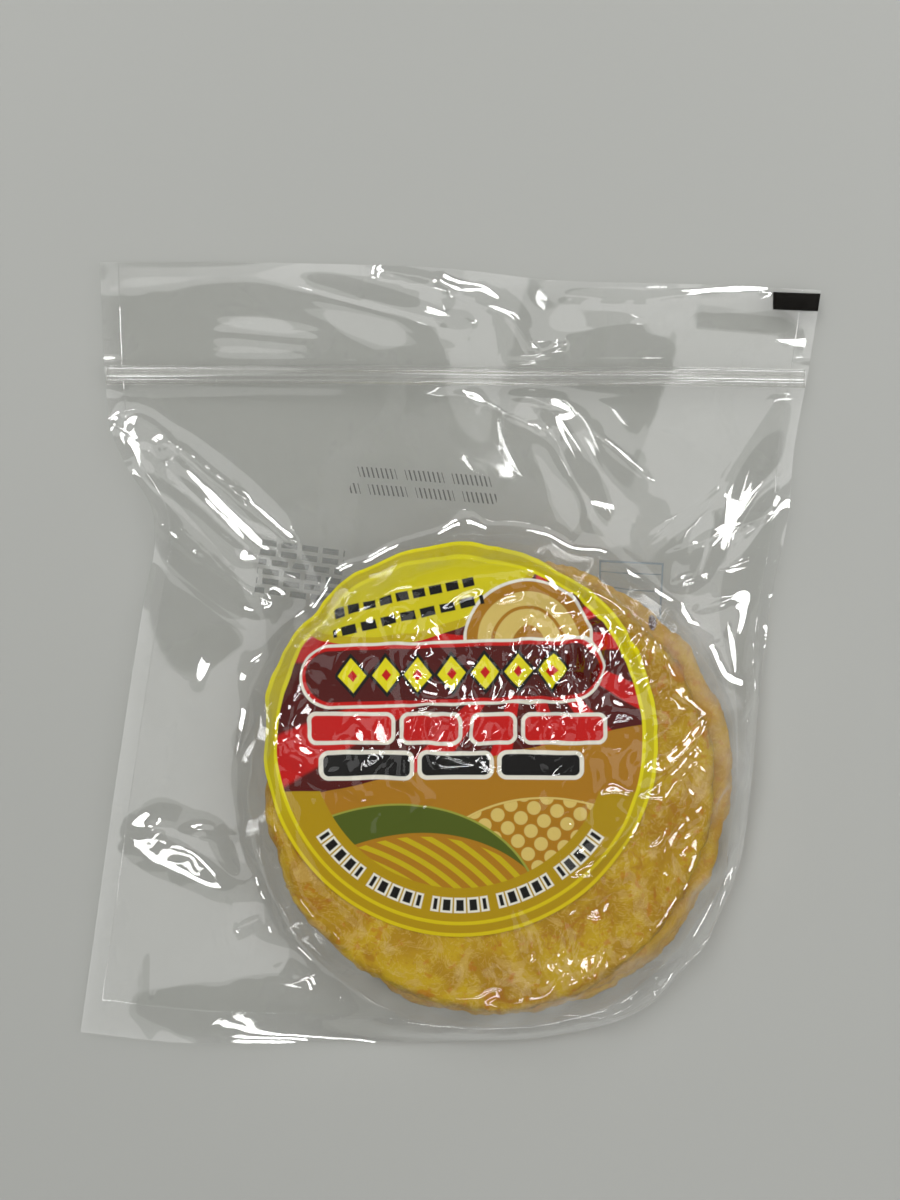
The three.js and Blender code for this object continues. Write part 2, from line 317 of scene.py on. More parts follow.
def settle(p, seeded, obstacle, sweeps, spare, hoop, bending, hold):
    """Lets a film that is a little too large for its place settle under pressure into sharp folds.

    p is the film drawn over its obstacle, as x, y and z grids. seeded is the height that its folds
    start from, and the film's own size is measured there. obstacle(x, y) is what it can't sink below.
    spare and hoop are shares of its size by which it is too large, hoop only round the stack.
    """
    p = p.astype(np.float32)
    p[2] = seeded
    pairs = batches(*p.shape[1:])
    rests = []
    for a, b in pairs:
        d = p[b] - p[a]
        mid = (p[b] + p[a]) / 2
        out_x, out_y = mid[0] - STACK[0], mid[1] - STACK[1]
        whole = np.hypot(out_x, out_y) * length(d)
        around = (d[0] * out_y - d[1] * out_x) ** 2 / np.maximum(whole ** 2, 1e-6)
        more, more_around = [(field[a[1:]] + field[b[1:]]) / 2 for field in (spare, hoop)]
        rests.append(length(d) * (1 + more + more_around * around))
    fixed, before = p.copy(), p.copy()
    for sweep in range(sweeps):
        speed = (p - before) * CARRIED
        before = p.copy()
        p += speed
        p[2] -= WEIGHT
        for (a, b), rest in zip(pairs, rests):
            d = p[b] - p[a]
            now = length(d)
            stiff = np.where(now > rest, TOO_LONG, TOO_SHORT)
            d *= stiff * (now - rest) / np.maximum(now, 1e-5)
            p[a] += d
            p[b] -= d
        for axis in (1, 2):
            bend = np.zeros_like(p)
            inner = [slice(None)] * 3
            low, high = list(inner), list(inner)
            inner[axis], low[axis], high[axis] = slice(1, -1), slice(0, -2), slice(2, None)
            bend[tuple(inner)] = (p[tuple(low)] + p[tuple(high)]) / 2 - p[tuple(inner)]
            curve = bend.copy()
            curve[tuple(inner)] -= (bend[tuple(low)] + bend[tuple(high)]) / 2
            p += bending * curve
        if sweep % 2 == 0:
            floor = obstacle(p[0], p[1])
        touching = p[2] < floor
        p[2] = np.where(touching, floor, p[2])
        before[:, touching] += GRIP * (p[:, touching] - before[:, touching])
        for grid in (p, before):
            grid[:, hold] = fixed[:, hold]
    return p


def finer(p, times):
    """A coarse grid's points at the steps of a finer one."""
    for axis in (1, 2):
        count = (p.shape[axis] - 1) * times + 1
        at = np.arange(count) / times
        low = np.minimum(at.astype(int), p.shape[axis] - 2)
        t = (at - low).reshape([-1 if a == axis else 1 for a in range(3)])
        places = (np.maximum(low - 1, 0), low, low + 1, np.minimum(low + 2, p.shape[axis] - 1))
        before, a, b, after = [np.take(p, place, axis) for place in places]
        bend = 2 * before - 5 * a + 4 * b - after + t * (3 * (a - b) + after - before)
        p = a + 0.5 * t * (b - before + t * bend)
    return p


FACET_ROUNDS = 10       # times that directions are averaged with those up to FACET_CELLS away
FACET_CELLS = 4
FACET_SPREAD = 2.8      # spread of the weights of those, in cells
FACET_SHARPNESS = 0.36  # how unlike two directions may be and still be averaged
FACET_PUSHES = 30       # times that points move toward their facets, each by a share FACET_PUSH
FACET_PUSH = 0.3


def facets(p, amount):
    """Gathers a film's gentle waves into nearly flat facets that meet in crisp creases.

    amount is how far each point goes along with it, from 0 to 1.
    """
    reach = FACET_CELLS
    one, other = p[:, 1:, 1:] - p[:, :-1, :-1], p[:, 1:, :-1] - p[:, :-1, 1:]
    normal = np.cross(one, other, axis=0)
    normal /= length(normal)
    rows, columns = normal.shape[1:]
    for _ in range(FACET_ROUNDS):
        padded = np.pad(normal, [(0, 0), (reach, reach), (reach, reach)], mode="edge")
        total = np.zeros_like(normal)
        for i in range(-reach, reach + 1):
            for j in range(-reach, reach + 1):
                near = padded[:, reach + i:reach + i + rows, reach + j:reach + j + columns]
                apart = ((near - normal) ** 2).sum(0)
                total += near * np.exp(-apart / (2 * FACET_SHARPNESS ** 2)
                                       - (i * i + j * j) / (2 * FACET_SPREAD ** 2))
        normal = total / length(total)
    corners = [(slice(None), slice(a, a + rows), slice(b, b + columns)) for a in (0, 1) for b in (0, 1)]
    out = p.copy()
    for _ in range(FACET_PUSHES):
        middle = sum(out[c] for c in corners) / 4
        push = np.zeros_like(out)
        for c in corners:
            push[c] += normal * (normal * (middle - out[c])).sum(0)
        out += FACET_PUSH * push
    return p + (out - p) * amount


# Where the film stands off the top cake in small ripples: place in the view, reach in pixels, and how much.
RIPPLED = [
    (575, 640, 80, 1.1), (430, 690, 90, 0.75), (315, 735, 45, 0.95), (670, 740, 75, 0.65),
    (560, 975, 70, 0.8), (700, 880, 50, 0.6), (600, 830, 50, 0.4), (330, 620, 50, 0.6),
    (640, 600, 60, 0.5),
]

# Where the film is milky: place in the view, reach in pixels, and how much.
MILKY = [
    (686, 636, 22, 0.2), (712, 690, 20, 0.16), (650, 600, 18, 0.14), (728, 770, 30, 0.14),
    (735, 850, 26, 0.12), (700, 935, 36, 0.14), (600, 1012, 30, 0.10),
]
BACK_CALM = 0.45        # how much the back film is crumpled, against the front one
LEAST_BUSY = 0.06       # how crumpled or rippled a film is in its calmest places
HALF_GAP = 0.10         # half of the least gap between the films, in millimetres
LEAST_HEIGHT = 0.06     # height of the back film over the ground at least, in millimetres


def film(plan, front_heights, back_heights, side):
    """Points of the front film (side 1) or the back one (side -1), in millimetres."""
    x, y = plan[..., 0], plan[..., 1]
    rows, columns = x.shape
    zip_row = LOWER_ROWS - 1
    raster_x, raster_y = np.meshgrid(RASTER_X, RASTER_Y)
    off_zip = smooth((np.abs(raster_y - np.interp(raster_x, x[zip_row], y[zip_row])) - 3) / 3)
    middle = (front_heights + back_heights) / 2
    half = (front_heights - back_heights) / 2
    surface = side * middle + np.maximum(HALF_GAP, (half - HALF_GAP) * off_zip)
    if side > 0:
        for row in CREASES:
            surface += off_zip * ridge(raster_x, raster_y, row, SHARP)

    def obstacle(px, py):
        return sample(surface, px, py)

    def noise(wavelength):
        return band_noise(x.shape, wavelength / CELL)

    base = obstacle(x, y)
    across, along = np.arange(columns), np.arange(rows)
    to_edge = np.minimum(np.minimum(across, across[::-1])[None, :], np.minimum(along, along[::-1])[:, None])
    to_edge = np.minimum(to_edge, 1.5 * np.abs(along - zip_row)[:, None])
    inside = smooth((to_edge * CELL - 1) / 8)
    r, turn = reach_from(STACK, x, y), np.arctan2(y - STACK[1], x - STACK[0])
    beside = smooth((r - 54) / 8)
    busy = np.maximum(spots(x, y, CRUMPLED, LEAST_BUSY), 0.75 * np.exp(-((r - 64) / 9) ** 2)) * inside
    if side < 0:
        busy = BACK_CALM * busy
    rippled = spots(x, y, RIPPLED, LEAST_BUSY) * (1 - beside) * inside

    # Folds that run out from the stack, then ever smaller ones.
    rays = np.zeros_like(x)
    for n in range(10, 40):
        drift = rng.normal(0, 0.03) * (r - 60)
        rays += np.sin(n * turn + rng.uniform(0, 6.28) + drift) * rng.normal(0, 1) / 5.5
    folds = base + busy * rays * 1.6 * beside * np.exp(-np.maximum(r - 66, 0) / 26)
    folds += inside * noise(75) * (0.6 if side > 0 else 0.4) * smooth((r - 66) / 20)
    folds += busy * noise(32) * 1.5 * smooth((r - 62) / 12)
    folds += busy * noise(13) * 0.4 * beside
    hoop = 0.05 * busy * smooth((r - 52) / 8) * (1 - smooth((r - 66) / 30))
    hold = inside < 0.02
    start = np.stack([x, y, base])

    # The film settles on every fourth point, then on every second one, then on all of them. Each stage has
    # its step, its sweeps, the stiffness against bending, the lift of the folds that it starts from, and
    # the spare size everywhere and round the stack.
    crisp = 0.95 * rippled + 1.2 * np.maximum(rippled - 0.8, 0)
    stages = (
        (4, 160, 0.018, np.maximum(folds, base) - base, 0.022 * busy * beside, hoop),
        (2, 120, 0.014, 0.14 * busy * beside * noise(9) + crisp * noise(12),
         0.008 * busy * beside + 0.03 * rippled, 0.1 * hoop),
        (1, 60, 0.010, (0.05 * busy * beside + 0.04 * rippled) * noise(5), 0.006 * busy * beside, 0 * hoop),
    )
    p = start[:, ::4, ::4].copy()
    for step, sweeps, bending, lift, spare, around in stages:
        every = (slice(None, None, step), slice(None, None, step))
        if p.shape[1] != start[0][every].shape[0]:
            p = finer(p, 2)
        held = hold[every]
        p[:, held] = start[(slice(None),) + every][:, held]
        p[2] = np.maximum(p[2], obstacle(p[0], p[1]))
        p = settle(p, p[2] + lift[every], obstacle, sweeps, spare[every], around[every], bending, held)
    p = facets(p, inside * (0.35 + 0.65 * beside))
    p[2] = np.maximum(p[2], obstacle(p[0], p[1]) - 0.05)
    p[2] *= side
    p[2] = np.maximum(p[2], LEAST_HEIGHT if side < 0 else 2 * LEAST_HEIGHT)
    return p


# ---- Meshes ----

def mesh_object(name, points, faces, material, **maps):
    """A smooth mesh from points in millimetres and faces, of one material and riding the part."""
    mesh = bpy.data.meshes.new(name)
    mesh.from_pydata((np.asarray(points, float) * MM).tolist(), [], [tuple(map(int, f)) for f in faces])
    mesh.polygons.foreach_set("use_smooth", [True] * len(mesh.polygons))
    loops = np.empty(len(mesh.loops), np.int32)
    mesh.loops.foreach_get("vertex_index", loops)
    for label, values in maps.items():
        layer = mesh.uv_layers.new(name=label)
        layer.data.foreach_set("uv", np.asarray(values, np.float32)[loops].ravel())
    mesh.materials.append(material)
    mesh.update()
    obj = bpy.data.objects.new(name, mesh)
    bpy.context.collection.objects.link(obj)
    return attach(obj, "root")


def grid_faces(rows, columns, flip=False, closed=False):
    """Four-sided faces of a grid of points. A closed grid's rows run round and meet themselves."""
    index = np.arange(rows * columns).reshape(rows, columns)
    if closed:
        index = np.concatenate([index, index[:, :1]], axis=1)
    quads = np.stack([index[:-1, :-1], index[:-1, 1:], index[1:, 1:], index[1:, :-1]], axis=-1).reshape(-1, 4)
    return quads[:, ::-1] if flip else quads


def fan_faces(middle, first, segments, flip=False):
    """Triangles from one point to a ring of points that starts at the one called first."""
    ends = [(first + k, first + (k + 1) % segments) for k in range(segments)]
    return [(middle, b, a) if flip else (middle, a, b) for a, b in ends]


# ---- Materials ----

class Nodes:
    """Short ways to add nodes to one material."""

    def __init__(self, name):
        self.material = bpy.data.materials.new(name)
        self.material.use_nodes = True
        self.tree = self.material.node_tree
        self.tree.nodes.clear()
        self.output = self.tree.nodes.new("ShaderNodeOutputMaterial")
        self.place = self.node("TexCoord").outputs["Object"]

    def node(self, kind, **values):
        made = self.tree.nodes.new("ShaderNode" + kind)
        for key, value in values.items():
            setattr(made, key, value)
        return made

    def put(self, made, values):
        """Sets or links a node's inputs, by name or by number, and gives its outputs."""
        for key, value in values.items():
            if isinstance(value, bpy.types.NodeSocket):
                self.tree.links.new(value, made.inputs[key])
            else:
                made.inputs[key].default_value = value
        return made.outputs

    def math(self, operation, *values):
        return self.put(self.node("Math", operation=operation), dict(enumerate(values)))[0]

    def plus(self, a, b):
        return self.math("ADD", a, b)

    def minus(self, a, b):
        return self.math("SUBTRACT", a, b)

    def times(self, a, b):
        return self.math("MULTIPLY", a, b)

    def over(self, a, b):
        return self.math("DIVIDE", a, b)

    def within(self, value, half):
        """Below 0 where a value is less than half away from 0."""
        return self.minus(self.math("ABSOLUTE", value), half)

    def squares(self, a, b):
        return self.plus(self.times(a, a), self.times(b, b))

    def far(self, a, b):
        return self.math("SQRT", self.squares(a, b))

    def mix(self, share, first, second):
        return self.put(self.node("Mix", data_type="RGBA"), {0: share, 6: first, 7: second})[2]

    def blend(self, share, first, second):
        return self.put(self.node("MixShader"), {0: share, 1: first, 2: second})[0]

    def shader(self, kind, tint, **values):
        return self.put(self.node("Bsdf" + kind), {"Color": tint, **values})[0]

    def noise(self, scale, detail=3.0, roughness=0.5, distortion=0.0):
        return self.put(self.node("TexNoise"), {
            "Scale": scale, "Detail": detail, "Roughness": roughness, "Distortion": distortion,
            "Vector": self.place})[0]

    def ramp(self, value, low, high):
        return self.put(self.node("MapRange", interpolation_type="SMOOTHSTEP"),
                        {"Value": value, "From Min": low, "From Max": high})[0]

    def parts(self, vector):
        """The x, y and z of a vector."""
        return self.put(self.node("SeparateXYZ"), {0: vector})

    def uv(self, name):
        """The two values of a map of the mesh."""
        return self.parts(self.node("UVMap", uv_map=name).outputs[0])[:2]

    def bump(self, height, distance, strength=1.0):
        return self.put(self.node("Bump"), {"Strength": strength, "Distance": distance, "Height": height})[0]

    def finish(self, shader):
        self.tree.links.new(shader, self.output.inputs["Surface"])
        return self.material


def colour(r, g, b):
    """Linear colour from display values of 0 to 255."""
    def linear(c):
        c /= 255
        return c / 12.92 if c <= 0.04045 else ((c + 0.055) / 1.055) ** 2.4
    return linear(r), linear(g), linear(b), 1.0


def thin_gloss(n, bump, roughness=0.05, base=0.078):
    """A gloss shader, and the share of light that a thin sheet mirrors. base is its share seen square on."""
    facing = n.put(n.node("LayerWeight"), {"Blend": 0.5})["Facing"]
    grazing = n.math("POWER", facing, 5.0)
    mirror = n.math("MINIMUM", n.math("MULTIPLY_ADD", grazing, 1.8, base), 0.9)
    bumped = {"Normal": bump} if bump else {}
    return mirror, n.shader("Glossy", (1, 1, 1, 1), Roughness=roughness, **bumped)


SEAL_WIDTH = 5.2        # of the welds at the sides, in millimetres
FOOT_SEAL = 9.15        # and of the one at the foot
SEAM_SPAN = 40.0        # millimetres that the seams' map spans


def fine_ridges(n, welded, rippled):
    """Bump for the step at the welds and for the finest ridges, which run where the film is rippled."""
    height = n.times(welded, 0.12)
    for scale, width, tall in ((60, 0.05, 0.3), (105, 0.07, 0.2)):
        line = n.over(n.minus(n.noise(scale, 1.5, 0.5, 0.7), 0.5), width)
        crest = n.math("POWER", math.e, n.times(n.times(line, line), -1.0))
        broken = n.ramp(n.noise(scale * 0.9 + 7, 1.0), 0.46, 0.56)
        height = n.plus(height, n.times(n.times(crest, broken), n.times(rippled, tall)))
    return n.bump(height, 0.001)


def film_material(name, cling, textured):
    """Clear glossy film with hazier welded seams, and ragged patches where it clings to the other film."""
    n = Nodes(name)
    side, foot = [n.times(value, SEAM_SPAN) for value in n.uv("seams")]
    welded = n.math("MAXIMUM", n.ramp(side, SEAL_WIDTH + 0.15, SEAL_WIDTH - 0.15),
                    n.ramp(foot, FOOT_SEAL + 0.15, FOOT_SEAL - 0.15))
    loose, rippled = n.uv("touch")
    apart = n.math("MAXIMUM", loose, n.math("MINIMUM", n.times(rippled, 0.8), 0.8))
    bump = fine_ridges(n, welded, rippled) if textured else None
    mirror, gloss = thin_gloss(n, bump, base=n.math("MULTIPLY_ADD", apart, 0.053, 0.027))
    clear = n.shader("Transparent", (0.978, 0.979, 0.972, 1))
    haze = n.shader("Diffuse", (0.8, 0.8, 0.78, 1))
    cloudy = n.noise(26, 4.0, 0.62, 0.4)
    patches = n.ramp(cloudy, 0.515, 0.53)
    share = n.math("MULTIPLY_ADD", n.times(patches, loose), cling, 0.007)
    share = n.plus(share, n.times(welded, 0.03))
    share = n.plus(share, n.times(n.times(loose, rippled), 0.2))
    share = n.math("MULTIPLY_ADD", n.uv("milk")[0], n.ramp(cloudy, 0.35, 0.6), share)
    return n.finish(n.blend(mirror, n.blend(share, clear, haze), gloss))


def zip_material():
    n = Nodes("zip_plastic")
    mirror, gloss = thin_gloss(n, n.bump(n.noise(400, 2.0), 0.00005, 0.3), 0.12, 0.06)
    clear = n.shader("Transparent", (0.93, 0.93, 0.92, 1))
    haze = n.shader("Diffuse", (0.62, 0.62, 0.59, 1))
    return n.finish(n.blend(mirror, n.blend(0.16, clear, haze), gloss))


def ink_shader(n, tint, cover):
    """Ink on the film: its colour where cover is 1, and nothing where it is 0."""
    return n.blend(cover, n.shader("Transparent", (1, 1, 1, 1)), n.shader("Diffuse", tint))


def scorch(n, place, wide, tall):
    """How far a ragged burnt spot at a pixel of the view covers, sizes in millimetres."""
    across, along = [n.over(n.minus(part, middle * MM), size * MM)
                     for part, middle, size in zip(n.parts(n.place), spot(*place), (wide, tall))]
    reach = n.minus(n.squares(across, along), 1.2)
    return n.ramp(n.math("MULTIPLY_ADD", n.noise(420, 3.0, 0.6), 2.4, reach), 1.4, 0.6)


DARK_SCORCH = (646, 621)    # a burnt spot's place in the view
PALE_SCORCH = (668, 668)


def cake_material():
    """Moist griddled maize dough: amber, with pale swirls, orange flecks and a few toasted spots."""
    n = Nodes("corn_cake")
    broad = n.noise(55, 4.0, 0.6, 0.8)
    cloud = n.noise(120, 6.0, 0.72, 1.1)
    vein = n.math("ABSOLUTE", n.minus(n.noise(210, 4.0, 0.6, 1.6), 0.5))
    fleck = n.noise(330, 3.0, 0.55)
    grain = n.noise(1300, 2.0, 0.6)
    toast = n.noise(85, 3.0, 0.55, 0.5)
    under_top = 3 * CAKE_THICKNESS
    base = n.mix(n.ramp(broad, 0.38, 0.62), colour(176, 133, 4), colour(202, 167, 16))
    for pattern, amount, tint in (
        (n.ramp(cloud, 0.535, 0.60), 0.55, (208, 172, 92)),
        (n.ramp(vein, 0.026, 0.006), 0.45, (218, 186, 96)),
        (n.ramp(cloud, 0.44, 0.36), 0.6, (170, 112, 2)),
        (n.ramp(fleck, 0.6, 0.66), 0.5, (190, 108, 10)),
        (n.ramp(toast, 0.64, 0.72), 0.6, (170, 84, 6)),
        (n.ramp(grain, 0.62, 0.76), 0.25, (224, 192, 86)),
        (n.ramp(grain, 0.36, 0.24), 0.2, (150, 100, 4)),
        # The lower cakes are tinted a brighter orange gold below the top cake's underside: partly their own
        # more orange hue, partly painted light that lifts the rims the top cake shades.
        (n.ramp(n.parts(n.place)[2], under_top * MM, (under_top - 0.8) * MM), 0.4, (214, 160, 10)),
        (scorch(n, DARK_SCORCH, 1.2, 2.0), 1.0, (74, 36, 8)),
        (scorch(n, PALE_SCORCH, 2.2, 2.8), 0.5, (188, 104, 12)),
    ):
        base = n.mix(n.times(pattern, amount), base, colour(*tint))
    relief = n.plus(n.times(cloud, 0.6), n.times(grain, 0.25))
    return n.finish(n.put(n.node("BsdfPrincipled"), {
        "Base Color": base, "Roughness": 0.5, "Specular IOR Level": 0.06, "Subsurface Weight": 0.12,
        "Subsurface Radius": (0.003, 0.0018, 0.0006), "Subsurface Scale": 0.6,
        "Normal": n.bump(relief, 0.0009, 0.8)})[0])


# ---- Corn cakes ----

def waves(x, y, count, shortest, longest):
    """Smooth noise of unit size from random plane waves with lengths in millimetres."""
    total = np.zeros_like(x)
    for _ in range(count):
        turn, phase = rng.uniform(0, 2 * math.pi, 2)
        k = 2 * math.pi / math.exp(rng.uniform(math.log(shortest), math.log(longest)))
        total += np.sin(k * (x * math.cos(turn) + y * math.sin(turn)) + phase)
    return total * math.sqrt(2 / count)


CAKE_SEGMENTS = 300
FACE_RINGS = 45         # rings of points on each face of a cake
EDGE_RINGS = 11         # and round its edge
EDGE_ROUND = 2.9        # how far the edge bulges, in millimetres
CAKE_LIFT = 0.1         # gap under each cake, in millimetres


def cake(name, centre, low, material):
    """One flat cake: an uneven disc with a rounded, slightly cracked edge."""
    turn = np.linspace(0, 2 * math.pi, CAKE_SEGMENTS, endpoint=False)
    outline = np.full(CAKE_SEGMENTS, CAKE_RADIUS)
    for n in range(2, 26):
        outline += rng.normal(0, 0.55 / n ** 0.6) * np.sin(n * turn + rng.uniform(0, 6.28))
    flat = np.linspace(0, 1, FACE_RINGS + 1)[1:] ** 0.8
    arc = np.linspace(0, math.pi, EDGE_RINGS + 2)[1:-1]
    none, whole = np.zeros(FACE_RINGS), np.ones(FACE_RINGS)
    share = np.concatenate([flat, np.ones(EDGE_RINGS), flat[::-1]])
    out = np.concatenate([none, EDGE_ROUND * np.sin(arc), none])
    height = np.concatenate([whole, np.cos(arc), -whole])
    r = share[:, None] * (outline - EDGE_ROUND)[None, :] + out[:, None]
    x, y = r * np.cos(turn), r * np.sin(turn)
    base, thick = low + CAKE_LIFT, CAKE_THICKNESS - 0.75
    relief = np.clip(0.16 * waves(x, y, 60, 9, 30) + 0.07 * waves(x, y, 80, 3, 8), -0.4, 0.4)
    z = base + thick / 2 + height[:, None] * (thick / 2 + relief * (np.abs(height) > 0.9)[:, None])
    z = np.maximum(z, 0.16)
    rough = 0.25 * waves(x, y + z * 2, 40, 2.5, 8) * (out > 0)[:, None]
    x, y = x + rough * np.cos(turn), y + rough * np.sin(turn)
    rings = np.stack([x + centre[0], y + centre[1], z], axis=-1).reshape(-1, 3)
    middles = [[*centre, base + thick], [*centre, base]]
    count = len(rings)
    faces = [*grid_faces(len(share), CAKE_SEGMENTS, flip=True, closed=True)]
    faces += fan_faces(count, 0, CAKE_SEGMENTS)
    faces += fan_faces(count + 1, count - CAKE_SEGMENTS, CAKE_SEGMENTS, flip=True)
    return mesh_object(name, np.vstack([rings, middles]), faces, material)


CLEARANCE = 0.4     # millimetres by which a film clears what would come through it
CLEAR_CELLS = 2     # cells on each side that move with it


def clear_of(points, pieces, side):
    """Film points moved outward, with those beside them, where a piece would come through the film."""
    depsgraph = bpy.context.evaluated_depsgraph_get()
    trees = [BVHTree.FromObject(piece, depsgraph) for piece in pieces]
    need = np.zeros(points.shape[1:])
    for j, i in np.ndindex(need.shape):
        x, y, z = points[:, j, i]
        for tree in trees:
            hit = ray_height(tree, x, y, side)
            if hit is not None:
                need[j, i] = max(need[j, i], side * (hit - z) + CLEARANCE)
    padded = np.pad(need, CLEAR_CELLS, mode="edge")
    rows, columns = need.shape
    near = range(2 * CLEAR_CELLS + 1)
    reach = np.max([padded[b:b + rows, a:a + columns] for a in near for b in near], axis=0)
    moved = points.copy()
    moved[2] = np.maximum(moved[2] + side * np.maximum(blurred(reach, 1.2), need), LEAST_HEIGHT)
    return moved


# ---- Things printed on the films ----

class OnFilm:
    """Finds where a plan position of the flat film has ended up on the settled one."""

    def __init__(self, points, plan, side):
        quads = grid_faces(*plan.shape[:2])
        self.triangles = np.concatenate([quads[:, [0, 1, 2]], quads[:, [0, 2, 3]]])
        self.flat = [Vector(v) for v in plan.reshape(-1, 3) * [1, 1, 0]]
        self.tree = BVHTree.FromPolygons(self.flat, self.triangles.tolist())
        normal = np.cross(np.gradient(points, axis=2), np.gradient(points, axis=1), axis=0)
        normal /= np.linalg.norm(normal, axis=0)
        self.points, self.normals = [[Vector(v) for v in field.transpose(1, 2, 0).reshape(-1, 3)]
                                     for field in (points, normal * side)]

    def at(self, x, y, lift):
        """The point that is lift millimetres outside the film over the plan position x, y."""
        hit = self.tree.ray_cast(Vector((x, y, 9)), Vector((0, 0, -1)))
        if hit[0] is None:
            hit = self.tree.find_nearest(Vector((x, y, 0)))
        corners = [int(v) for v in self.triangles[hit[2]]]
        place, out = [barycentric_transform(hit[0], *[self.flat[v] for v in corners],
                                            *[field[v] for v in corners])
                      for field in (self.points, self.normals)]
        return place + out.normalized() * lift


LABEL_CENTRE = (2.5, -21.3)
LABEL_RADIUS = 50.2
INK_DEPTH = -0.07       # millimetres outside the film, so print lies just inside it
PRINT_SPAN = 120.0      # millimetres that the print's map spans


def round_print(name, sheet, centre, radius, material):
    """A disc of print just inside the film, with plan coordinates from its centre in its map."""
    segments, rings = 420, 110
    turn = np.linspace(0, 2 * math.pi, segments, endpoint=False)
    share = np.linspace(0, 1, rings + 1)[1:]
    dx, dy = radius * share[:, None] * np.cos(turn), radius * share[:, None] * np.sin(turn)
    offsets = np.vstack([pairs_of(dx, dy), [0, 0]])
    points = [sheet.at(centre[0] + a, centre[1] + b, INK_DEPTH) for a, b in offsets]
    faces = [*grid_faces(rings, segments, flip=True, closed=True)]
    faces += fan_faces(len(points) - 1, 0, segments)
    return mesh_object(name, points, faces, material, print=offsets / PRINT_SPAN + 0.5)


def straight_print(name, sheet, centre, size, turn, material, depth=INK_DEPTH, cell=0.9):
    """A rectangle of print on the film."""
    columns, rows = [max(2, int(s / cell)) + 1 for s in size]
    u, v = np.meshgrid(np.linspace(-0.5, 0.5, columns) * size[0], np.linspace(-0.5, 0.5, rows) * size[1])
    c, s = math.cos(turn), math.sin(turn)
    x, y = centre[0] + u * c - v * s, centre[1] + u * s + v * c
    points = [sheet.at(a, b, depth) for a, b in pairs_of(x, y)]
    offsets = pairs_of(u, v)
    return mesh_object(name, points, grid_faces(rows, columns), material, print=offsets / PRINT_SPAN + 0.5)


class Print(Nodes):
    """Nodes for flat print: coloured shapes laid over each other, in millimetres from the middle.

    A shape is a distance that is below 0 inside it.
    """

    def __init__(self, name):
        super().__init__(name)
        self.x, self.y = [self.math("MULTIPLY_ADD", value, PRINT_SPAN, -PRINT_SPAN / 2)
                          for value in self.uv("print")]
        self.tint = None

    def turned(self, cx, cy, turn):
        """Coordinates from cx, cy along axes turned by an angle in degrees."""
        c, s = math.cos(math.radians(turn)), math.sin(math.radians(turn))
        x, y = self.minus(self.x, cx), self.minus(self.y, cy)
        along = self.plus(self.times(x, c), self.times(y, s))
        return along, self.minus(self.times(y, c), self.times(x, s))

    def inside(self, distance, soft=0.14):
        """1 inside a shape and 0 outside it."""
        return self.ramp(distance, soft, -soft)

    def disc(self, cx, cy, radius, stretch=1.0, turn=0.0):
        a, b = self.turned(cx, cy, turn)
        return self.minus(self.far(a, self.times(b, stretch)), radius)

    def bar(self, cx, cy, width, height, turn=0.0, rounding=0.0):
        a, b = self.turned(cx, cy, turn)
        a, b = self.within(a, width / 2 - rounding), self.within(b, height / 2 - rounding)
        if not rounding:
            return self.meet(a, b)
        return self.minus(self.far(self.meet(a, 0), self.meet(b, 0)), rounding)

    def repeat(self, value, period):
        """A coordinate that runs from -period / 2 to period / 2 again and again."""
        return self.math("WRAP", value, period / 2, -period / 2)

    def meet(self, out, *others):
        for other in others:
            out = self.math("MAXIMUM", out, other)
        return out

    def join(self, out, *others):
        for other in others:
            out = self.math("MINIMUM", out, other)
        return out

    def lay(self, distance, tint):
        """Lays a shape's colour over what is there."""
        self.tint = tint if self.tint is None else self.mix(self.inside(distance), self.tint, tint)

    def lay_edged(self, distance, *edges):
        """Lays a shape in several colours, each grown by its own millimetres, the widest first."""
        for amount, tint in edges:
            self.lay(self.minus(distance, amount), tint)

    def text_row(self, pitch):
        """The number of the row that a point is in, and the height from the row's middle."""
        row = self.math("FLOOR", self.over(self.y, pitch))
        return row, self.minus(self.y, self.times(self.plus(row, 0.5), pitch))

    def print_only(self, distance, soft, tint, cover):
        """The finished material of a shape in one colour with nothing round it."""
        return self.finish(ink_shader(self, tint, self.times(self.inside(distance, soft), cover)))


YELLOW = colour(240, 230, 14)
BRIGHT_YELLOW = colour(222, 210, 24)
DEEP_YELLOW = colour(204, 182, 18)
OLIVE = colour(208, 192, 6)
FOOT_YELLOW = colour(184, 150, 6)
FOOT_LINE = colour(222, 200, 12)
GOLD = colour(180, 126, 24)
PALE_GOLD = colour(224, 198, 112)
DARK_RED = colour(88, 14, 6)
RED = colour(208, 16, 8)
GREEN = colour(84, 98, 24)
PALE_GREEN = colour(160, 164, 62)
WHITE = colour(240, 236, 222)
BLACK = colour(20, 18, 16)
STAMP_GREY = colour(84, 84, 82)
NOTE_GREY = colour(120, 122, 120)
BOX_BLUE = colour(132, 144, 152)

RIM_INNER, RIM_OUTER = 46.8, 49.7          # radii of the two bright lines round the panel, in millimetres
FOOT_ROW = 42.2                            # radius of the row of ticks round the panel's foot


